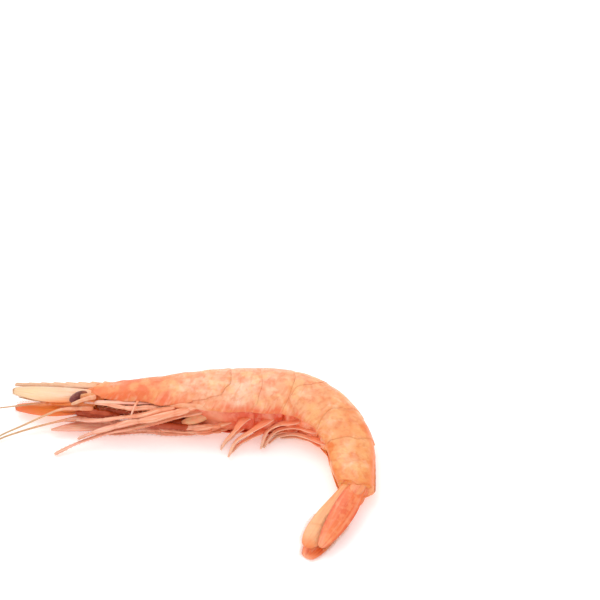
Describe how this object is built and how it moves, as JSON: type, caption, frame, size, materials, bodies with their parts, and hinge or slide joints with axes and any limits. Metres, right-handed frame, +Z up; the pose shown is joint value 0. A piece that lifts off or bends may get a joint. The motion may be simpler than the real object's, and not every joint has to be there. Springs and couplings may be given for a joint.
{
  "type": "shrimp",
  "caption": "Whole cooked shrimp, head and shell on, lying on its side with the tail curled and the legs laid forward.",
  "frame": {"origin": "on the table, under the middle of the bounding box", "axes": "+X from head to tail along the longest side, +Y towards the back of the curled body, +Z up, out of the shrimp's left side"},
  "size_m": [0.1182, 0.059, 0.0148],
  "materials": {
    "shell": "thin wet cooked shell, glossy and slightly see-through, peach to orange",
    "tail_fan": "wet glossy orange blades with streaks and a fringe of fine hairs",
    "limb": "wet pink-orange shell of legs and swimmerets, glossy",
    "scale": "thin pale horny blade with an orange-brown rim",
    "feeler": "smooth thin orange-brown whip",
    "eye": "wet dark purple-brown eye, very glossy"
  },
  "bodies": {
    "root": {"carapace": "shell", "segment_1": "shell", "segment_2": "shell", "segment_3": "shell", "segment_4": "shell", "segment_5": "shell", "segment_6": "shell", "telson": "tail_fan", "outer_blade_left": "tail_fan", "inner_blade_left": "tail_fan", "outer_blade_right": "tail_fan", "inner_blade_right": "tail_fan", "thorax_underside": "limb", "jaw_leg_left": "limb", "jaw_leg_right": "limb", "leg_1_left": "limb", "leg_1_right": "limb", "leg_2_left": "limb", "leg_2_right": "limb", "leg_3_left": "limb", "leg_3_right": "limb", "leg_4_left": "limb", "leg_4_right": "limb", "leg_5_left": "limb", "leg_5_right": "limb", "swimmeret_1_left": "limb", "swimmeret_1_right": "limb", "swimmeret_2_left": "limb", "swimmeret_2_right": "limb", "swimmeret_3_left": "limb", "swimmeret_3_right": "limb", "swimmeret_4_left": "limb", "swimmeret_4_right": "limb", "swimmeret_5_left": "limb", "swimmeret_5_right": "limb", "antennule_left": "limb", "antennule_right": "limb", "antennal_scale_left": "scale", "antennal_scale_right": "scale", "antenna_left": "feeler", "antenna_right": "feeler", "eye_left": "eye", "eye_right": "eye"}
  },
  "joints": []
}
